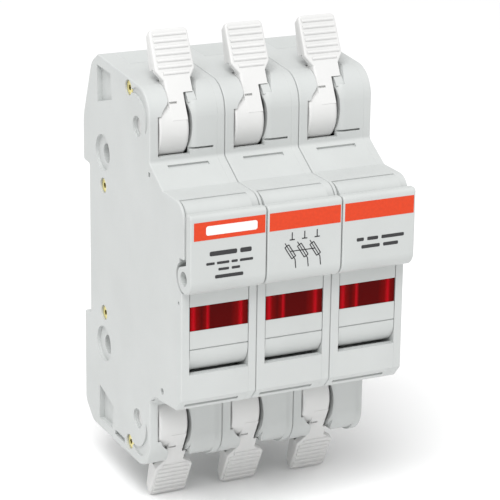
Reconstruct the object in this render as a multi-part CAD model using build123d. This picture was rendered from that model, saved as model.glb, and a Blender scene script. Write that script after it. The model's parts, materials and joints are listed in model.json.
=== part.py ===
"""Three-pole cartridge fuse holder for a 35 mm DIN rail.

Frame: millimetres, +Z up, the front faces -Y, +X to the right as seen from the front.
The origin is the centre of the rail seat, on the plane where the housing meets the rail.
Side outlines are drawn as (forward, up), where forward is the distance in front of the rail.
Across a pole, x runs from 0 at its left seam to PITCH at its right seam.
"""
from build123d import *
import math
import os

os.makedirs("parts", exist_ok=True)

# ---- driving dimensions ---------------------------------------------------------------
POLES = 3
PITCH = 17.5                 # one rail module
SEAM = 0.05                  # each pole stands this far inside its own pitch
LEFT_WALL = 1.6              # thickness of the body's left wall
FLANK = 1.9                  # thickness of both walls beside the carrier
SPLIT = 15.6                 # x where the body meets its cover
SEAM_ROUND = 0.3             # rounding of the long edges at each seam
WALL = 1.5

SEAT_HALF = 17.7             # half of the recess that takes the 35 mm rail
LUG_BACK = -3.5              # rear face of the lugs above and below the rail
HOOK_FACE = -2.1             # front face of both hooks, clear of the rail's thin edges
TOP = 44.0
BOTTOM = -43.7
SHOULDER = 34.2              # front face of the terminal zones
FRONT = 51.0                 # front face below the handle
ROOF = 22.8                  # top of the 45 mm front zone
ROOF_EDGE = 48.3             # front edge of the fixed roof, where the carrier begins
CHIN = -23.5                 # bottom of the 45 mm front zone

HINGE_F, HINGE_Z = 45.9, -10.4
BARREL_R = 5.0
HINGE_PIN_R = 1.25
PIN_PLAY = 0.05

PIVOT_F, PIVOT_Z = 27.5, 33.25   # lever pivots, mirrored below
DRUM_R = 7.2
LEAN = 27.0                  # how far a closed lever leans back from vertical
TRUNNION_R = 1.95
UPPER_NECK, LOWER_NECK = 11.0, 9.7   # x of the right edge of each lever's neck

FUSE_R, CAP_R, FUSE_LENGTH, CAP_LENGTH = 5.0, 5.15, 38.1, 9.5
FUSE_F, FUSE_Z = 37.0, -1.6
FUSE_X = PITCH / 2

HANDLE_BACK, HANDLE_FRONT, HANDLE_TOP = 52.9, 55.3, 21.3
BOSS_F, BOSS_Z, BOSS_R = 52.0, 6.9, 3.3
TIE_BAR_R = 1.6

RIVETS = [(22.8, 40.6), (8.2, 14.9), (8.2, -14.9), (22.8, -40.6)]
RIVET_R, RIVET_BORE, RIVET_HEAD_R = 1.15, 0.6, 1.55

HOLLOW_F, HOLLOW_Z = 8.9, 22.4   # blind holes in the side faces, mirrored below
LOWER_BULGE = 0.5            # the lower cowls stand this far proud of their walls
POCKET_BACK = 26.3           # rear edge of the openings around the levers
PORT_X, PORT_F = 8.8, 10.55  # centre of each wire entry
PLATE_F = 13.2               # wire contact plate, just behind which the wire lies


# ---- drawing helpers ------------------------------------------------------------------
def profile(corners):
    """Closed face from (forward, up, corner radius), each corner rounded by its radius."""
    count = len(corners)
    entries, exits, mids = [], [], []
    for index, (f, z, radius) in enumerate(corners):
        here = Vector(f, z)
        last = (Vector(*corners[index - 1][:2]) - here).normalized()
        following = (Vector(*corners[(index + 1) % count][:2]) - here).normalized()
        half = math.radians(last.get_angle(following)) / 2
        reach = radius / math.tan(half)
        entries.append(here + last * reach)
        exits.append(here + following * reach)
        inward = (last + following).normalized() if radius else Vector(0, 0)
        mids.append(here + inward * (radius / math.sin(half) - radius))
    edges = []
    for index in range(count):
        if corners[index][2]:
            edges.append(Edge.make_three_point_arc(entries[index], mids[index], exits[index]))
        edges.append(Edge.make_line(exits[index], entries[(index + 1) % count]))
    return Face(Wire(edges))


def sharp(*points):
    return profile([(f, z, 0) for f, z in points])


def slab(face, x0, x1):
    """Extrude a side outline between two planes across the pole."""
    side = Plane(origin=(x0, 0, 0), x_dir=(0, -1, 0), z_dir=(-1, 0, 0))
    return extrude(side * face, amount=x1 - x0, dir=(1, 0, 0))


def block(x0, x1, f0, f1, z0, z1):
    return Pos((x0 + x1) / 2, -(f0 + f1) / 2, (z0 + z1) / 2) * Box(x1 - x0, f1 - f0, z1 - z0)


def rod(x0, x1, f, z, radius):
    """Round bar that runs across the pole."""
    return Pos((x0 + x1) / 2, -f, z) * Rot(0, 90, 0) * Cylinder(radius, x1 - x0)


def post(x, f, z0, z1, radius):
    """Round bar that stands up."""
    return Pos(x, -f, (z0 + z1) / 2) * Cylinder(radius, z1 - z0)


def edges_at_x(shape, x):
    """Edges that lie wholly in one plane across the pole."""
    tolerance = 1e-4
    box_of = [(edge, edge.bounding_box()) for edge in shape.edges()]
    return [e for e, b in box_of if abs(b.min.X - x) < tolerance and abs(b.max.X - x) < tolerance]


def mirrored(shape):
    """The same piece at the other end of the pole."""
    return mirror(shape, about=Plane.XY)


# ---- outlines of the housing ----------------------------------------------------------
OUTLINE = [
    (0, -SEAT_HALF, 0.4), (0, SEAT_HALF, 0.4),
    (LUG_BACK, SEAT_HALF + 0.2, 0.8), (LUG_BACK, 28.0, 12.0), (1.6, 41.6, 5.0), (5.4, TOP, 1.2),
    (SHOULDER, 42.0, 6.5), (SHOULDER, 26.8, 1.0),
    (41.1, ROOF, 0.8), (52.0, ROOF, 4.0), (52.0, 10.9, 0.3), (FRONT, 10.9, 0.3),
    (FRONT, -20.8, 0.6), (48.6, CHIN, 0.6), (36.6, -24.9, 0.8), (SHOULDER, -27.2, 0.8),
    (SHOULDER, BOTTOM, 6.5), (1.0, BOTTOM, 3.0), (LUG_BACK, -40.0, 3.0),
    (LUG_BACK, -SEAT_HALF - 0.2, 0.8),
]
CAVITY = [
    (2.0, BOTTOM + WALL, 0), (2.0, 19.6, 0), (-1.7, 19.8, 0), (-1.7, 28.0, 8.0), (3.0, 40.7, 3.0),
    (6.0, 42.4, 1.0), (SHOULDER - WALL, 40.6, 5.0), (SHOULDER - WALL, 26.0, 0), (40.7, ROOF - WALL, 0),
    (49.3, ROOF - WALL, 0), (49.3, -19.9, 0), (47.9, -21.9, 0), (36.0, -23.4, 0),
    (SHOULDER - WALL, -26.5, 0), (SHOULDER - WALL, BOTTOM + WALL, 5.0),
]


def carrier_way():
    """The room that the carrier takes between the flanks, from the side."""
    return sharp((ROOF_EDGE, 30), (ROOF_EDGE, ROOF - WALL), (41.1, ROOF - WALL), (41.1, 10),
                 (48.5, -15.0), (60, -15.0), (60, 30))


def side_marks(x_outer, inward):
    """Recesses in one outer side face; inward is +1 from the left face, -1 from the right."""
    shallow, middle, deep = 0.8 * inward, 1.2 * inward, 4.0 * inward

    def cut(face, depth):
        low, high = sorted((x_outer - inward, x_outer + depth))
        return slab(face, low, high)

    def disc(f, z, radius):
        return Pos(f, z) * Circle(radius).face()

    cuts = []
    for f, z in RIVETS:
        cuts.append(cut(disc(f, z, 1.75), shallow))
    for end in (1, -1):
        cuts.append(cut(disc(8.0, 22.4 * end, 4.1), shallow))
        cuts.append(cut(disc(HOLLOW_F, HOLLOW_Z * end, 2.2), deep))
        corner = [(4.9, 41.6 * end), (12.7, 41.3 * end), (13.5, 35.7 * end), (5.2, 33.3 * end)]
        cuts.append(cut(sharp(*corner), middle))
        crescent = disc(27.8, 36.2 * end, 5.5) - disc(25.9, 33.9 * end, 6.2)
        crescent -= disc(PIVOT_F, PIVOT_Z * end, 3.6)
        cuts.append(cut(crescent.faces()[0], shallow * 0.5))
        cuts.append(cut(disc(PIVOT_F, PIVOT_Z * end, 2.3), shallow * 0.7))
    cuts.append(cut(sharp((14.6, -40.9), (20.0, -40.9), (20.0, -42.1), (14.2, -42.1)), shallow))
    cuts.append(cut(sharp((33.6, 23.9), (34.6, 23.9), (34.6, 24.9), (33.6, 24.9)), shallow))
    cuts.append(cut(disc(41.1, -21.9, 0.8), middle))
    cuts.append(cut(sharp((34.9, -26.2), (38.8, -24.2), (39.2, -25.6), (35.4, -27.4)), shallow))
    cuts.append(cut(disc(49.6, 0.9, 0.4), shallow))
    return cuts


# ---- housing --------------------------------------------------------------------------
def boss_relief(x0, x1):
    """Round bite in a flank around the lower edge of the handle, with the notch above it."""
    bite = rod(x0, x1, BOSS_F, BOSS_Z, BOSS_R + 0.4)
    notch = block(x0, x1, 49.9, 54.0, 9.7, 10.95)
    return bite + notch


def lever_pocket(neck_edge):
    """Opening around a lever: it narrows to the neck at the top, and bows at the right."""
    bowed, bow_r = 10.0, 16.0
    low, high = 27.9, 38.6
    front_view = Plane(origin=(0, -POCKET_BACK, 0), x_dir=(1, 0, 0), z_dir=(0, -1, 0))
    opening = profile([(2.0, low, 0.3), (2.0, 33.0, 6.0), (3.0, 37.6, 3.0), (4.7, 39.4, 1.5),
                       (5.3, 46.0, 0), (9.35, 46.0, 0), (9.35, low, 0)])
    pocket = extrude(front_view * opening, amount=14, dir=(0, -1, 0))
    bow = Pos(bowed - bow_r, -32, 34.0) * Rot(90, 0, 0) * Cylinder(bow_r, 20)
    pocket += bow & block(8.35, bowed + 1, 28.6, 40, low, high)
    neck_way = block(9.0, neck_edge, POCKET_BACK, 40, 34, 50)
    return pocket + (neck_way - rod(0, PITCH, PIVOT_F, PIVOT_Z, DRUM_R + 1.2))


def cowl(bulge, corner_x, corner_r):
    """Domed cover beside a lever, rounded over along its left edge and at its outer corner."""
    x0, x1 = 9.0, SPLIT
    front = SHOULDER + bulge
    side = profile([(POCKET_BACK, 28.6, 0), (front, 28.6, 0), (front, 42.0 + bulge, 6.5),
                    (POCKET_BACK, 42.55 + bulge, 0)])
    shape = slab(side, x0, x1)

    def outer(edge):
        middle = edge @ 0.5
        return -middle.Y > POCKET_BACK + 0.5 and middle.Z > 29.0

    shape = fillet([e for e in edges_at_x(shape, x0) if outer(e)], 2.0)
    corner_z = 42.9 + bulge - corner_r
    corner = block(x0 - 1, corner_x, 20, 45, corner_z, 50)
    return shape - (corner - Pos(corner_x, -32, corner_z) * Rot(90, 0, 0) * Cylinder(corner_r, 40))


def make_body():
    left = slab(profile(OUTLINE), SEAM, SPLIT)
    left = fillet(edges_at_x(left, SEAM), SEAM_ROUND)
    for flip in (lambda shape: shape, mirrored):
        left -= flip(block(9.0, SPLIT, POCKET_BACK, 40, 28.6, 50))
    left += cowl(0, 14.9, 3.6)
    left += mirrored(cowl(LOWER_BULGE, 13.8, 3.8))
    body = left - slab(profile(CAVITY), LEFT_WALL, SPLIT + 1)
    # room for the carrier; the left flank is thin outside the sweep of the wide roof
    body -= slab(carrier_way(), FLANK, SPLIT + 1)
    roof_zone = block(0.6, FLANK + 0.1, ROOF_EDGE, 60, 11.0, 30)
    body -= roof_zone - rod(0, PITCH, HINGE_F, HINGE_Z, 21.7)
    flank_pad = slab(sharp((41.1, 10.5), (41.1, -15), (49.4, -15), (49.4, 10.5)), 1.0, FLANK)
    body += flank_pad
    body -= boss_relief(-1, FLANK + 0.5)
    # terminal zones: a thicker rim beside each lever and a wall that carries its pivot
    for flip, neck_edge in ((lambda shape: shape, UPPER_NECK + 0.35), (mirrored, LOWER_NECK + 0.3)):
        rim = slab(sharp((20, 26.5), (33.0, 27.0), (33.0, 36.0), (28.0, 41.2), (20, 41.6)), 1.0, 2.0)
        web = slab(sharp((22.5, 27.5), (33.0, 27.5), (33.0, 36.0), (28.0, 41.2), (22.5, 41.4)),
                   10.6, 11.8)
        partition = block(1.2, SPLIT, 16.2, 30.0, 20.9, 22.1)
        ledge_slot = block(5.0, 14.8, SHOULDER - 1.0, 40, 28.9, 29.35)
        marker = Pos(8.5, -35.5, 26.1) * Rot(30, 0, 0) * Box(9.4, 1.0, 1.1)
        collar = block(3.4, 14.0, 4.6, 14.4, 39.6, 43.0)
        port = block(PORT_X - 3.4, PORT_X + 3.4, PORT_F - 2.35, PORT_F + 2.35, 38, 50)
        mouth = loft([Plane.XY.offset(41.9) * Pos(PORT_X, -PORT_F) * Rectangle(7.6, 5.6).face(),
                      Plane.XY.offset(45.0) * Pos(PORT_X, 1.2 - PORT_F) * Rectangle(10.6, 10.4).face()])
        body += flip(rim + web + partition + collar)
        body -= flip(lever_pocket(neck_edge) + ledge_slot + port + mouth)
        body -= flip(rod(2.0, 9.3, PIVOT_F, PIVOT_Z, DRUM_R + 0.3))
        body -= flip(marker)
        body -= flip(rod(-1, 12.5, PIVOT_F, PIVOT_Z, TRUNNION_R + PIN_PLAY))
    # the lower wall steps back where the paddle's corner passes close over it
    body -= block(3.2, 6.0, POCKET_BACK, 31.5, BOTTOM - 1, -42.4)
    # rivet posts, hinge pin seat, rail hook, clip channel, chin groove
    for f, z in RIVETS:
        spans = [(1.2, SPLIT)] if abs(z) < 20 else [(1.2, 2.0), (9.6, SPLIT)]
        for x0, x1 in spans:
            body += rod(x0, x1, f, z, 2.1)
    for end in (1, -1):
        body += rod(1.2, 5.0, HOLLOW_F, HOLLOW_Z * end, 3.1)
    body += rod(1.0, FLANK, HINGE_F, HINGE_Z, 3.0)
    body -= rod(0.8, 4.0, HINGE_F, HINGE_Z, HINGE_PIN_R)
    body += block(4.0, 13.4, LUG_BACK + 0.1, HOOK_FACE, SEAT_HALF - 1.3, SEAT_HALF + 2.0)
    body -= block(4.0, 13.4, -10, -0.3, -50, -15.0)
    body -= Pos(7.6, -49.8, -22.15) * Rot(131.6, 0, 0) * Box(12.4, 1.0, 1.0)
    # shelf under the carrier's hinge barrel
    shelf = block(FLANK - 0.4, SPLIT, 45.4, 49.6, -17.6, -15.0)
    body += shelf - rod(0, PITCH, HINGE_F, HINGE_Z, 5.72)
    for f, z in RIVETS:
        body -= rod(-1, PITCH, f, z, RIVET_R)
    for cut in side_marks(SEAM, 1):
        body -= cut
    return body


def make_cover():
    right = PITCH - SEAM
    cover = slab(profile(OUTLINE), SPLIT, right)
    cover = fillet(edges_at_x(cover, right), SEAM_ROUND)
    cover = fillet(edges_at_x(cover, SPLIT), 0.12)
    for end in (1, -1):
        cover += rod(13.2, SPLIT + 0.2, HOLLOW_F, HOLLOW_Z * end, 3.1)
    cover -= boss_relief(SPLIT - 1, PITCH + 1)
    cover -= rod(SPLIT - 1, 16.7, HINGE_F, HINGE_Z, HINGE_PIN_R)
    for f, z in RIVETS:
        cover -= rod(SPLIT - 1, PITCH + 1, f, z, RIVET_R)
    for cut in side_marks(right, -1):
        cover -= cut
    return cover


def make_rivets():
    """Hollow rivets that run through all three poles and hold the covers on."""
    x0, x1 = 0.45, POLES * PITCH - 0.45
    rivets = []
    for f, z in RIVETS:
        rivet = rod(x0, x1, f, z, RIVET_R)
        rivet += rod(x0, 0.85, f, z, RIVET_HEAD_R) + rod(x1 - 0.4, x1, f, z, RIVET_HEAD_R)
        rivets.append(rivet - rod(-1, POLES * PITCH + 1, f, z, RIVET_BORE))
    return Compound(rivets)


# ---- carrier --------------------------------------------------------------------------
def make_carrier():
    x0, x1 = FLANK + 0.15, SPLIT - 0.15
    outer = profile([
        (31.2, -9.6, 0.5), (31.2, 6.4, 0.5), (40.6, 6.4, 0), (41.4, 13.0, 0), (41.4, 19.6, 0.4),
        (ROOF_EDGE + 0.15, 20.6, 0), (ROOF_EDGE + 0.15, ROOF - 0.1, 0.3), (53.2, ROOF - 0.1, 4.3),
        (53.2, 4.5, 0.5), (FRONT - 0.1, 3.4, 0), (FRONT - 0.1, HINGE_Z, 0), (HINGE_F, HINGE_Z, 0),
        (41.4, -10.5, 0)])
    carrier = slab(outer, x0, x1) + rod(x0, x1, HINGE_F, HINGE_Z, BARREL_R)
    hollow = profile([
        (38.0, 6.4, 0), (38.0, 20.6, 0), (49.6, 20.6, 0), (51.6, 18.0, 0), (51.6, 4.0, 0), (49.2, 2.4, 0),
        (49.2, -6.6, 0), (43.6, -6.6, 0), (43.6, 6.4, 0)])
    carrier -= slab(hollow, x0 + 1.2, x1 - 1.2)
    # wide roof, outside the flanks' sweep, and the handle plate with its rounded lower edge
    roof = profile([(ROOF_EDGE + 0.15, 11.0, 0), (ROOF_EDGE + 0.15, ROOF - 0.1, 0.3),
                    (53.2, ROOF - 0.1, 4.3), (53.2, 11.4, 0)])
    wide = slab(roof, 0.7, x0 + 0.1) - rod(0, PITCH, HINGE_F, HINGE_Z, 22.0)
    carrier += wide
    plate = profile([
        (HANDLE_BACK, HANDLE_TOP, 0.5), (HANDLE_FRONT, HANDLE_TOP, 0.9), (HANDLE_FRONT, BOSS_Z - BOSS_R, BOSS_R),
        (BOSS_F - BOSS_R, BOSS_Z - BOSS_R, BOSS_R - 0.05), (BOSS_F - BOSS_R, BOSS_Z + 1.6, 1.5),
        (HANDLE_BACK, BOSS_Z + 3.2, 0.5)])
    handle = slab(plate, 0.12, PITCH - 0.12)
    handle = fillet(edges_at_x(handle, 0.12) + edges_at_x(handle, PITCH - 0.12), 0.35)
    handle += block(x1 - 0.2, PITCH - 0.4, 52.2, HANDLE_BACK + 0.1, 11.3, HANDLE_TOP - 1.5)
    carrier += handle
    # bore for the fuse, window, hinge pin and tie bar
    carrier -= post(FUSE_X, FUSE_F, -30, 6.5, CAP_R + 0.1)
    carrier -= block(0, PITCH, 48.7, 60, -5.3, 0.1)
    carrier -= block(0, PITCH, FRONT - 0.35, 60, -9.55, -9.25)
    carrier -= rod(0, PITCH, HINGE_F, HINGE_Z, HINGE_PIN_R + PIN_PLAY)
    carrier -= rod(-1, PITCH + 1, BOSS_F, BOSS_Z, TIE_BAR_R)
    return carrier


def make_lens():
    x0, x1 = FLANK + 0.2, SPLIT - 0.2
    lens = block(x0, x1, 48.7, FRONT - 0.15, -5.25, 0.05)
    for centre in (5.6, 8.6, 11.6):
        lens -= post(centre, 48.2, -4.6, -0.6, 1.2)
    return lens


def make_indicator():
    """Resistor board and the small lamp that lights the window when the fuse has blown."""
    board = block(4.2, 13.3, 44.0, 44.9, -6.0, 3.6)
    lamp = rod(5.6, 11.9, 46.6, -2.6, 1.3)
    legs = block(6.0, 6.5, 44.9, 46.6, -2.8, -2.4) + block(11.0, 11.5, 44.9, 46.6, -2.8, -2.4)
    return board, lamp + legs


def make_fuse_tube():
    half = FUSE_LENGTH / 2 - 0.6
    return post(FUSE_X, FUSE_F, FUSE_Z - half, FUSE_Z + half, FUSE_R)


def make_fuse_caps():
    caps = []
    for end in (1, -1):
        tip = FUSE_Z + end * FUSE_LENGTH / 2
        low, high = sorted((tip, tip - end * CAP_LENGTH))
        cap = fillet(post(FUSE_X, FUSE_F, low, high, CAP_R).edges(), 0.3)
        low, high = sorted((tip - end * 0.6, tip - end * (CAP_LENGTH + 1)))
        caps.append(cap - post(FUSE_X, FUSE_F, low, high, FUSE_R))
    return Compound(caps)


# ---- contacts -------------------------------------------------------------------------
ARM = 0.8
ARM_GAP = 0.1


def make_upper_jaw():
    """Spring arms beside the upper cap, a back, a strap and the wire contact plate."""
    left, right = FUSE_X - CAP_R - ARM_GAP, FUSE_X + CAP_R + ARM_GAP
    jaw = block(left - ARM, left, 30.2, 39.4, 12.3, 17.2)
    jaw += block(right, right + ARM, 30.2, 39.4, 12.3, 17.2)
    jaw += block(left - ARM, right + ARM, 30.2, 31.2, 12.3, 17.2)
    jaw += block(4.5, 13.0, 30.2, 31.2, 12.3, 23.2)
    jaw += block(4.5, 13.0, PLATE_F, 31.2, 22.2, 23.2)
    jaw += block(4.5, 13.0, PLATE_F, PLATE_F + 1.2, 22.2, 37.0)
    return jaw


def make_lower_jaw():
    """Spring arms beside the lower cap on a base under it, a strap and the contact plate."""
    left, right = FUSE_X - CAP_R - ARM_GAP, FUSE_X + CAP_R + ARM_GAP
    jaw = block(left - ARM, left, 33.0, 40.6, -22.1, -14.8)
    jaw += block(right, right + ARM, 33.0, 40.6, -22.1, -14.8)
    jaw += block(left - ARM, right + ARM, 33.0, 40.6, -22.1, -21.1)
    jaw += block(4.5, 13.0, PLATE_F, 34.0, -23.2, -22.1)
    jaw += block(4.5, 13.0, PLATE_F, PLATE_F + 1.2, -37.0, -22.1)
    return jaw


def make_cage():
    """Cage that pulls the wire against the contact plate of the upper terminal."""
    cage = block(3.2, 14.3, 11.2, 19.6, 26.2, 34.4)
    return cage - block(4.2, 13.3, 12.2, 18.3, 20, 40)


def make_lever(neck_right):
    """Terminal lever of the upper end: drum on two trunnions, narrow neck and ribbed wedge paddle."""
    drum = rod(2.3, 9.15, PIVOT_F, PIVOT_Z, DRUM_R)
    drum = fillet(edges_at_x(drum, 9.15), 0.9)
    drum = fillet(edges_at_x(drum, 2.3), 0.4)
    trunnions = rod(1.1, 11.7, PIVOT_F, PIVOT_Z, TRUNNION_R)
    # the arm is drawn standing straight up from the drum's front and then leaned back
    neck_top, shoulder, tip = 8.3, 9.9, 18.9
    left, neck_left, right = 3.5, 5.0, 12.5
    front_view = Plane(origin=(0, -DRUM_R, 0), x_dir=(1, 0, 0), z_dir=(0, -1, 0))
    neck = block(neck_left, 8.8, DRUM_R - 3.0, DRUM_R, -1.0, neck_top)
    neck += block(neck_left, neck_right, DRUM_R - 2.6, DRUM_R, 4.9, neck_top + 0.4)
    neck = fillet(neck.edges().filter_by(lambda e: abs((e @ 0.5).Y + DRUM_R) < 0.01
                                         and abs((e % 0.5).Z) > 0.9 and (e @ 0.5).X < 6), 0.5)
    face = profile([(neck_left, neck_top - 0.6, 0), (left, shoulder, 1.0), (left + 0.1, tip, 1.1),
                    (right - 0.1, tip, 1.1), (right, shoulder, 1.0), (neck_right, neck_top - 0.6, 0)])
    blade = extrude(front_view * face, amount=1.6, dir=(0, 1, 0))
    blade = fillet([e for e in blade.edges() if abs((e % 0.5).Y) < 0.1 and (e @ 0.5).Z > 8.4], 0.35)
    wedge = slab(sharp((DRUM_R - 1.5, 10.6), (DRUM_R - 1.5, tip - 0.5), (DRUM_R - 2.7, tip - 0.9),
                       (DRUM_R - 4.2, 10.9)), left + 0.4, right - 0.4)
    arms = neck + blade + wedge
    for rib in range(7):
        height = 9.2 + rib * 1.4
        inset = 1.6 if rib == 0 else 0.7
        arms += rod(left + inset, right - inset, DRUM_R - 0.05, height, 0.38)
    arms -= block(5.3, 7.0, DRUM_R - 0.5, DRUM_R + 1, 2.6, 3.1)
    arms -= Pos(0, PIVOT_F, -PIVOT_Z) * rod(9.15, 12.6, PIVOT_F, PIVOT_Z, DRUM_R + 1.5)
    arms = Pos(0, -PIVOT_F, PIVOT_Z) * Rot(-LEAN, 0, 0) * arms
    return drum + trunnions + arms


def make_clip():
    """Sliding rail clip in the lower lug; its hook goes behind the rail's lower edge."""
    clip = block(4.2, 13.2, LUG_BACK + 0.2, -0.6, -40.6, -18.2)
    clip += block(4.2, 13.2, LUG_BACK + 0.2, HOOK_FACE, -18.3, -SEAT_HALF + 1.4)
    return clip - block(6.2, 11.2, -10, 5, -38.6, -36.4)


# ---- parts shared by the poles --------------------------------------------------------
def make_tie_bar():
    return rod(1.6, POLES * PITCH - 1.6, BOSS_F, BOSS_Z, TIE_BAR_R)


def make_labels():
    """Thin printed labels on the handles, one on each pole."""
    labels = []
    for pole in range(POLES):
        x0 = pole * PITCH
        left = 0.9 if pole == 0 else 0.5
        right = 0.9 if pole == POLES - 1 else 0.5
        labels.append(block(x0 + left, x0 + PITCH - right, HANDLE_FRONT, HANDLE_FRONT + 0.1, 7.6, 20.3))
    return Compound(labels)


def make_hinge_pins():
    return Compound([rod(p * PITCH + 0.85, p * PITCH + 16.6, HINGE_F, HINGE_Z, HINGE_PIN_R)
                     for p in range(POLES)])


# ---- assembly -------------------------------------------------------------------------
def place(shape, pole=0):
    """Move a piece from pole coordinates to its place in the row of poles."""
    return Pos(pole * PITCH - POLES * PITCH / 2, 0, 0) * shape


def main():
    board, lamp = make_indicator()
    cage = make_cage()
    per_pole = {
        "housing_body": make_body(),
        "housing_cover": make_cover(),
        "carrier": make_carrier(),
        "window_lens": make_lens(),
        "indicator_board": board,
        "indicator_lamp": lamp,
        "fuse_tube": make_fuse_tube(),
        "fuse_caps": make_fuse_caps(),
        "jaw_upper": make_upper_jaw(),
        "jaw_lower": make_lower_jaw(),
        "cage_upper": cage,
        "cage_lower": mirrored(cage),
        "lever_upper": make_lever(UPPER_NECK),
        "lever_lower": mirrored(make_lever(LOWER_NECK)),
        "rail_clip": make_clip(),
    }
    for name, shape in per_pole.items():
        for pole in range(POLES):
            export_step(place(shape, pole), f"parts/{name}_{pole + 1}.step")
    shared = {
        "rivets": make_rivets(),
        "hinge_pins": make_hinge_pins(),
        "handle_tie_bar": make_tie_bar(),
        "labels": make_labels(),
    }
    for name, shape in shared.items():
        export_step(place(shape), f"parts/{name}.step")


main()
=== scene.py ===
"""Looks of a three-pole cartridge fuse holder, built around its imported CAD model."""
import json
import math

import bpy
import bmesh
from mathutils import Matrix, Vector


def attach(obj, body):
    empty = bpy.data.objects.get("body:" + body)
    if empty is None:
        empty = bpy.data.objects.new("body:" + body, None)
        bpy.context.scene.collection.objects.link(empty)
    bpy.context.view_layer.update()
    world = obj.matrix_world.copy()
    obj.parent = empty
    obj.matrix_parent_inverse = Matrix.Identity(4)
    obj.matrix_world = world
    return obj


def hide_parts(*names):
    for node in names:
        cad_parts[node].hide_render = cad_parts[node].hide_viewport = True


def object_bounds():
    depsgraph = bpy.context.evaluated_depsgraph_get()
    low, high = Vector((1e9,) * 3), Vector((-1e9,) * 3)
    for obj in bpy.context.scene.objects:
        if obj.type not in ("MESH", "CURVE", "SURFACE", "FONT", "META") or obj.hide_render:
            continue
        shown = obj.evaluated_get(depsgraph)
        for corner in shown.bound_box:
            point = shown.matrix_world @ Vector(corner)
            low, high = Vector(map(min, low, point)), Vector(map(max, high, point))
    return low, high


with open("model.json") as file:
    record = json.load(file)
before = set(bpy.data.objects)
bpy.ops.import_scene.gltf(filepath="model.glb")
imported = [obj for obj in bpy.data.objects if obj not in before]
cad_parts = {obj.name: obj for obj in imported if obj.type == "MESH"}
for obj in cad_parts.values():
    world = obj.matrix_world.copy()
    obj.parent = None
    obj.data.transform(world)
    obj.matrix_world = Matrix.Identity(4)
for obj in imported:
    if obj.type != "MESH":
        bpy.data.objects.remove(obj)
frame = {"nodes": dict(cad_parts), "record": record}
cad_low, cad_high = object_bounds()

MM = 0.001
POLES = 3
PITCH = 17.5 * MM

FLOOR_SIZE = 12.0            # metres, so that its edge never shows
FLOOR_GAP = 0.0002           # the floor lies just under the lowest CAD point
SKY = 0.76                   # strength of the even white surroundings
KEY_PLACE = (-0.40, -0.52, 1.02)
KEY_AIM = (0, -0.02, 0)
KEY_SIZE, KEY_POWER = 0.7, 12

HANDLE_FRONT = 55.3          # mm in front of the rail, the face that carries the print
INK, STRIP = 0.03, 0.05      # mm, how far the ink and the blank strip stand up
CONTACT_LINE, LINE, THIN_LINE = 0.24, 0.22, 0.2   # mm, line widths of the wiring symbol

PIVOT_F, PIVOT_Z = 27.5, 33.25   # mm, a lever's pivot in front of and above the rail's centre
NECK_REACH = 8.5             # mm around the pivot that every lever's neck clears
COWL_F, COWL_Z, COWL_R = 27.7, 35.5, 6.47   # mm, the cowl's domed corner, just inside its surface
LOWER_BULGE = 0.5            # mm that the lower cowls stand proud
CORNER_X = 9.4               # mm from the pole's seam, left end of the square corners
UPPER_CORNER_X, LOWER_CORNER_X = 11.33, 9.98   # mm, their right ends, just beside the necks
CORNER_START, CORNER_SWEEP, CORNER_STEPS = 33, 40, 8   # degrees along the dome, and pieces
CORNER_DEPTH = 0.84          # their inner side, as a share of the distance from the pivot


# ---- camera ---------------------------------------------------------------------------
def add_camera():
    """Long lens from the left and a little above, as catalogue pictures are taken."""
    target = Vector((-0.25, -25.0, 0.82)) * MM
    azimuth, elevation, roll = math.radians(25.40), math.radians(18.47), math.radians(0.70)
    distance = 514.7 * MM
    back = Vector((-math.sin(azimuth) * math.cos(elevation),
                   -math.cos(azimuth) * math.cos(elevation), math.sin(elevation)))
    right = Vector((0, 0, 1)).cross(back).normalized()
    up = back.cross(right)
    right, up = (right * math.cos(roll) + up * math.sin(roll),
                 up * math.cos(roll) - right * math.sin(roll))
    data = bpy.data.cameras.new("camera")
    data.lens, data.sensor_width = 167.8, 36.0
    data.shift_x, data.shift_y = 0.0173, 0.0070
    data.clip_start, data.clip_end = 0.01, 20
    camera = bpy.data.objects.new("camera", data)
    camera.matrix_world = Matrix((
        (right.x, up.x, back.x, 0), (right.y, up.y, back.y, 0), (right.z, up.z, back.z, 0), (0, 0, 0, 1)))
    camera.location = target + back * distance
    bpy.context.scene.collection.objects.link(camera)
    bpy.context.scene.camera = camera


# ---- stage ----------------------------------------------------------------------------
def add_floor():
    material = bpy.data.materials.new("stage_floor")
    material.use_nodes = True
    shader = material.node_tree.nodes["Principled BSDF"]
    shader.inputs["Base Color"].default_value = (0.95, 0.95, 0.95, 1)
    shader.inputs["Roughness"].default_value = 0.9
    shader.inputs["Specular IOR Level"].default_value = 0.1
    bpy.ops.mesh.primitive_plane_add(size=FLOOR_SIZE, location=(0, 0, cad_low.z - FLOOR_GAP))
    floor = bpy.context.object
    floor.name = "floor"
    floor.data.materials.append(material)


def add_lighting():
    """Even white surroundings and one soft key light from the upper left."""
    world = bpy.data.worlds.new("studio")
    world.use_nodes = True
    background = world.node_tree.nodes["Background"]
    background.inputs["Color"].default_value = (1, 1, 1, 1)
    background.inputs["Strength"].default_value = SKY
    bpy.context.scene.world = world
    data = bpy.data.lights.new("key", "AREA")
    data.shape, data.size, data.energy = "SQUARE", KEY_SIZE, KEY_POWER
    lamp = bpy.data.objects.new("key", data)
    lamp.location = KEY_PLACE
    aim = (Vector(KEY_AIM) - lamp.location).normalized()
    lamp.rotation_euler = aim.to_track_quat("-Z", "Y").to_euler()
    bpy.context.scene.collection.objects.link(lamp)
    bpy.context.scene.view_settings.view_transform = "Standard"


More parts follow.
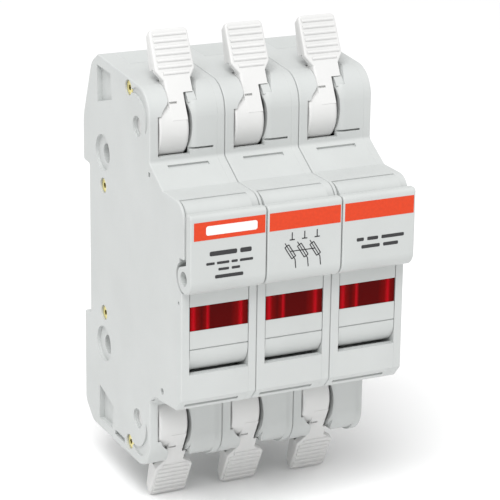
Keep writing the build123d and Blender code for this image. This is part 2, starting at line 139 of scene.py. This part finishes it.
# ---- materials ------------------------------------------------------------------------
class Surface:
    """Builds one material from nodes; all textures lie in the object's own space."""

    def __init__(self, name):
        self.material = bpy.data.materials.new(name)
        self.material.use_nodes = True
        self.tree = self.material.node_tree
        self.shader = self.tree.nodes["Principled BSDF"]
        self.place = self.node("ShaderNodeTexCoord").outputs["Object"]

    def node(self, kind, **settings):
        made = self.tree.nodes.new(kind)
        for key, value in settings.items():
            setattr(made, key, value)
        return made

    def link(self, source, target):
        self.tree.links.new(source, target)

    def noise(self, scale, detail=2.0, stretch=None):
        """Noise with so many features to the metre, drawn out along an axis if stretch is given."""
        texture = self.node("ShaderNodeTexNoise")
        texture.inputs["Scale"].default_value = scale
        texture.inputs["Detail"].default_value = detail
        source = self.place
        if stretch:
            mapping = self.node("ShaderNodeMapping")
            mapping.inputs["Scale"].default_value = stretch
            self.link(source, mapping.inputs["Vector"])
            source = mapping.outputs["Vector"]
        self.link(source, texture.inputs["Vector"])
        return texture.outputs["Fac"]

    def ramp(self, factor, stops):
        made = self.node("ShaderNodeValToRGB")
        elements = made.color_ramp.elements
        while len(elements) < len(stops):
            elements.new(0.5)
        for element, (position, color) in zip(elements, stops):
            element.position = position
            element.color = (*color, 1)
        self.link(factor, made.inputs["Fac"])
        return made.outputs["Color"]

    def spread(self, factor, low, high, from_low=0.3, from_high=0.7):
        made = self.node("ShaderNodeMapRange")
        limits = {"From Min": from_low, "From Max": from_high, "To Min": low, "To Max": high}
        for key, value in limits.items():
            made.inputs[key].default_value = value
        self.link(factor, made.inputs["Value"])
        return made.outputs["Result"]

    def bump(self, height, depth):
        made = self.node("ShaderNodeBump")
        made.inputs["Strength"].default_value = 1.0
        made.inputs["Distance"].default_value = depth
        self.link(height, made.inputs["Height"])
        self.link(made.outputs["Normal"], self.shader.inputs["Normal"])

    def fixed(self, **values):
        for key, value in values.items():
            self.shader.inputs[key.replace("_", " ")].default_value = value


def shade(color, factor):
    return tuple(min(1.0, channel * factor) for channel in color)


def cloudy(color, tone):
    """Ramp stops that swing a color a little darker and a little lighter."""
    return [(0.3, shade(color, 1 - tone)), (0.7, shade(color, 1 + tone))]


def moulded(name, color, roughness, grain=2600, depth=0.00002):
    """Moulded plastic: a spark-eroded grain, faint flow clouds and an uneven sheen."""
    made = Surface(name)
    clouds = made.noise(70, 3.0)
    fine = made.noise(grain, 2.0)
    made.link(made.ramp(clouds, cloudy(color, 0.03)), made.shader.inputs["Base Color"])
    made.link(made.spread(fine, roughness - 0.06, roughness + 0.06), made.shader.inputs["Roughness"])
    made.bump(fine, depth)
    made.fixed(Specular_IOR_Level=0.4)
    return made.material


def metal(name, color, roughness, stretch):
    """Rolled or turned metal: fine lines along one way, and duller patches."""
    made = Surface(name)
    lines = made.noise(900, 3.0, stretch)
    patches = made.noise(160, 3.0)
    made.link(made.ramp(patches, cloudy(color, 0.10)), made.shader.inputs["Base Color"])
    made.link(made.spread(lines, roughness - 0.08, roughness + 0.12), made.shader.inputs["Roughness"])
    made.bump(lines, 0.000006)
    made.fixed(Metallic=1.0)
    return made.material


def printed(name, color):
    """Pad-printed ink: slightly uneven cover over the plastic's grain."""
    made = Surface(name)
    cover = made.noise(1500, 3.0)
    made.link(made.ramp(cover, [(0.35, shade(color, 0.94)), (0.65, shade(color, 1.04))]),
              made.shader.inputs["Base Color"])
    made.link(made.spread(cover, 0.38, 0.52), made.shader.inputs["Roughness"])
    made.bump(cover, 0.000008)
    made.fixed(Specular_IOR_Level=0.25)
    return made.material


def red_lens():
    """Deep red clear moulding; brighter upright bands across each pole are painted highlights, standing in
    for the light its flutes catch.
    """
    made = Surface("red_lens")
    split = made.node("ShaderNodeSeparateXYZ")
    made.link(made.place, split.inputs["Vector"])
    shifted = made.node("ShaderNodeMath", operation="ADD")
    made.link(split.outputs["X"], shifted.inputs[0])
    shifted.inputs[1].default_value = POLES * PITCH / 2
    local = made.node("ShaderNodeMath", operation="MODULO")
    made.link(shifted.outputs[0], local.inputs[0])
    local.inputs[1].default_value = PITCH
    across = made.spread(local.outputs[0], 0, 1, 2.1 * MM, 15.4 * MM)
    # The brightest stops across each pole are painted highlights in place of the light on the flutes; the
    # rest is the lens's deep red.
    dark, mid, highlight_red = (0.085, 0.0, 0.0), (0.17, 0.0, 0.0), (0.44, 0.002, 0.008)
    painted_highlight_bands = [(0.0, mid), (0.06, highlight_red), (0.11, mid), (0.20, dark), (0.27, mid), (0.30, highlight_red), (0.35, dark),
             (0.70, dark), (0.82, mid), (0.88, highlight_red), (0.92, mid), (1.0, dark)]
    made.link(made.ramp(across, painted_highlight_bands), made.shader.inputs["Base Color"])
    streaks = made.noise(420, 2.0, (1.0, 1.0, 0.12))
    made.link(made.spread(streaks, 0.06, 0.16), made.shader.inputs["Roughness"])
    made.bump(streaks, 0.00003)
    made.fixed(Transmission_Weight=0.05, Specular_IOR_Level=0.03, IOR=1.49)
    return made.material


def clear_glass(name, color, roughness):
    """Clear glass with faint waves in its surface."""
    made = Surface(name)
    waves = made.noise(300, 2.0)
    made.link(made.ramp(waves, [(0.3, shade(color, 0.94)), (0.7, color)]), made.shader.inputs["Base Color"])
    made.link(made.spread(waves, roughness, roughness + 0.05), made.shader.inputs["Roughness"])
    made.bump(waves, 0.00001)
    made.fixed(Transmission_Weight=0.9, IOR=1.5)
    return made.material


def circuit_board():
    """Green laminate with a faint weave of glass threads."""
    made = Surface("circuit_board")
    across = made.noise(1400, 1.0, (1.0, 1.0, 0.15))
    along = made.noise(1400, 1.0, (0.15, 1.0, 1.0))
    weave = made.node("ShaderNodeMath", operation="ADD")
    made.link(across, weave.inputs[0])
    made.link(along, weave.inputs[1])
    made.link(made.ramp(made.spread(weave.outputs[0], 0, 1, 0.7, 1.3),
                        [(0.0, (0.02, 0.13, 0.05)), (1.0, (0.04, 0.22, 0.09))]),
              made.shader.inputs["Base Color"])
    made.bump(weave.outputs[0], 0.00001)
    made.fixed(Roughness=0.35)
    return made.material


def dress_nodes():
    """Gives every CAD node the material of its slot in the record."""
    grey, face_grey = (0.508, 0.524, 0.517), (0.500, 0.517, 0.509)
    finishes = {
        "housing_plastic": moulded("housing_plastic", grey, 0.50),
        "carrier_plastic": moulded("carrier_plastic", face_grey, 0.46),
        "lever_plastic": moulded("lever_plastic", (0.635, 0.635, 0.628), 0.36, 3200, 0.00001),
        "clip_plastic": moulded("clip_plastic", shade(grey, 0.96), 0.5),
        "red_lens": red_lens(),
        "circuit_board": circuit_board(),
        "lamp_glass": clear_glass("lamp_glass", (0.97, 0.90, 0.82), 0.03),
        "fuse_ceramic": moulded("fuse_ceramic", (0.86, 0.84, 0.79), 0.32, 1800, 0.00001),
        "plated_cap": metal("plated_cap", (0.72, 0.70, 0.66), 0.24, (1.0, 1.0, 8.0)),
        "tinned_copper": metal("tinned_copper", (0.70, 0.66, 0.60), 0.33, (8.0, 1.0, 1.0)),
        "zinc_steel": metal("zinc_steel", (0.62, 0.63, 0.66), 0.36, (1.0, 8.0, 1.0)),
        "rivet_brass": metal("rivet_brass", (0.74, 0.66, 0.28), 0.30, (1.0, 6.0, 6.0)),
        "label_print": printed("label_print", face_grey),
    }
    slots = {part["node"]: part["material_slot"] for part in frame["record"]["subparts"]}
    for node, thing in frame["nodes"].items():
        thing.data.materials.clear()
        thing.data.materials.append(finishes[slots[node]])


# ---- pieces made here -----------------------------------------------------------------
def bridge(mesh, first, second):
    """Add a closed prism between two rings of as many points."""
    near = [mesh.verts.new(point) for point in first]
    far = [mesh.verts.new(point) for point in second]
    mesh.faces.new(near)
    mesh.faces.new(list(reversed(far)))
    for i in range(len(near)):
        j = (i + 1) % len(near)
        mesh.faces.new((near[j], near[i], far[i], far[j]))


def add_piece(name, mesh, material, body):
    """Turn a mesh of closed prisms into a visible piece that moves with a CAD body."""
    bmesh.ops.recalc_face_normals(mesh, faces=mesh.faces)
    data = bpy.data.meshes.new(name)
    mesh.to_mesh(data)
    mesh.free()
    data.materials.append(material)
    thing = bpy.data.objects.new(name, data)
    bpy.context.scene.collection.objects.link(thing)
    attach(thing, body)
    return thing


# ---- corners of the cowls -------------------------------------------------------------
def cowl_corner(bulge):
    """Side outline (forward, up) of the strip of cowl that lies right under a lever's neck."""
    outer, inner = [], []
    for step in range(CORNER_STEPS + 1):
        angle = math.radians(CORNER_START + step * CORNER_SWEEP / CORNER_STEPS)
        across = COWL_F + bulge + COWL_R * math.cos(angle) - PIVOT_F
        above = COWL_Z + bulge + COWL_R * math.sin(angle) - PIVOT_Z
        shrink = min(1.0, NECK_REACH / math.hypot(across, above))
        outer.append((PIVOT_F + across * shrink, PIVOT_Z + above * shrink))
        inner.append((PIVOT_F + across * CORNER_DEPTH, PIVOT_Z + above * CORNER_DEPTH))
    return outer + inner[::-1]


def add_cowl_corners():
    """Square corner of each cowl under its lever's neck, where the edge isn't rounded over."""
    mesh = bmesh.new()
    for side, bulge, right in ((1, 0.0, UPPER_CORNER_X), (-1, LOWER_BULGE, LOWER_CORNER_X)):
        outline = cowl_corner(bulge)
        for pole in range(POLES):
            seam = (pole - POLES / 2) * PITCH
            rings = [[(seam + x * MM, -f * MM, side * z * MM) for f, z in outline]
                     for x in (CORNER_X, right)]
            bridge(mesh, *rings)
    housing = frame["nodes"]["housing_body_1"].data.materials[0]
    add_piece("cowl_corners", mesh, housing, "housing")


# ---- printing on the handles ----------------------------------------------------------
def prisms(name, outlines, material, thickness=INK):
    """Thin raised ink: each outline is a ring of (x, z) points in mm, x from the left seam."""
    seam, back, front = -POLES * PITCH / 2, -HANDLE_FRONT * MM, -(HANDLE_FRONT + thickness) * MM
    mesh = bmesh.new()
    for outline in outlines:
        rings = [[(seam + x * MM, y, z * MM) for x, z in outline] for y in (back, front)]
        bridge(mesh, *rings)
    return add_piece(name, mesh, material, "carriers")


def bar(x0, x1, z0, z1):
    return [(x0, z0), (x1, z0), (x1, z1), (x0, z1)]


def rounded(x0, x1, z0, z1, radius, steps=5):
    """Outline of a bar with round corners."""
    ring = []
    for cx, cz, start in ((x1 - radius, z0 + radius, -90), (x1 - radius, z1 - radius, 0),
                          (x0 + radius, z1 - radius, 90), (x0 + radius, z0 + radius, 180)):
        for step in range(steps + 1):
            angle = math.radians(start + 90 * step / steps)
            ring.append((cx + radius * math.cos(angle), cz + radius * math.sin(angle)))
    return ring


def stroke(start, end, width):
    """Outline of a straight line of some width."""
    (x0, z0), (x1, z1) = start, end
    length = math.hypot(x1 - x0, z1 - z0)
    dx, dz = -(z1 - z0) / length * width / 2, (x1 - x0) / length * width / 2
    return [(x0 + dx, z0 + dz), (x0 - dx, z0 - dz), (x1 - dx, z1 - dz), (x1 + dx, z1 + dz)]


def word_bars(centre, z0, z1, lengths, gap):
    """A row of plain bars about a centre, in place of one line of print."""
    x = centre - (sum(lengths) + gap * (len(lengths) - 1)) / 2
    bars = []
    for length in lengths:
        bars.append(rounded(x, x + length, z0, z1, (z1 - z0) * 0.3, 3))
        x += length + gap
    return bars


def fuse_symbol():
    """Three linked fuses on swinging contacts, as in a wiring diagram."""
    strokes = []
    for x in (22.9, 25.8, 28.7):
        strokes.append(stroke((x + 0.35, 15.1), (x + 0.35, 13.5), CONTACT_LINE))
        strokes.append(stroke((x - 0.25, 13.5), (x + 0.95, 13.5), CONTACT_LINE))
        top, low = (x - 1.3, 12.9), (x + 1.1, 9.1)
        strokes.append(stroke(top, low, THIN_LINE))
        strokes.append(stroke(low, (x + 1.3, 7.2), LINE))
        way = Vector((low[0] - top[0], low[1] - top[1])).normalized()
        side = Vector((-way.y, way.x)) * 0.52
        first, last = Vector(top) + way * 0.8, Vector(top) + way * 3.9
        ring = [first + side, first - side, last - side, last + side]
        for i in range(4):
            strokes.append(stroke(tuple(ring[i]), tuple(ring[(i + 1) % 4]), LINE))
    strokes.append(stroke((22.9, 11.0), (28.6, 11.0), THIN_LINE))
    return strokes


def add_print():
    orange = printed("orange_ink", (0.63, 0.048, 0.010))
    white = printed("white_ink", (0.78, 0.78, 0.77))
    dark = printed("dark_ink", (0.035, 0.035, 0.037))
    band = [bar(0.9, 17.0, 15.9, 19.8), bar(18.0, 34.5, 15.9, 19.8), bar(35.5, 51.95, 15.9, 19.8)]
    strip = prisms("orange_band", band, orange)
    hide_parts("labels")
    prisms("blank_strip", [rounded(3.6, 15.2, 16.85, 18.85, 0.5)], white, STRIP)
    rows = word_bars(9.2, 12.3, 13.3, [6.2, 2.6], 0.7)
    rows += word_bars(9.0, 10.4, 10.95, [1.9, 2.8, 1.4, 3.0], 0.5)
    rows += word_bars(8.9, 9.0, 9.55, [2.4, 1.9], 0.6)
    rows += word_bars(8.9, 7.35, 8.1, [6.4], 0.5)
    rows += word_bars(44.1, 11.1, 11.85, [1.7, 2.6, 5.4], 0.8)
    rows += word_bars(44.0, 9.4, 10.15, [4.4, 3.6], 0.8)
    prisms("plain_rows", rows, dark)
    prisms("fuse_symbol", fuse_symbol(), dark)


add_camera()
add_floor()
add_lighting()
dress_nodes()
add_cowl_corners()
add_print()
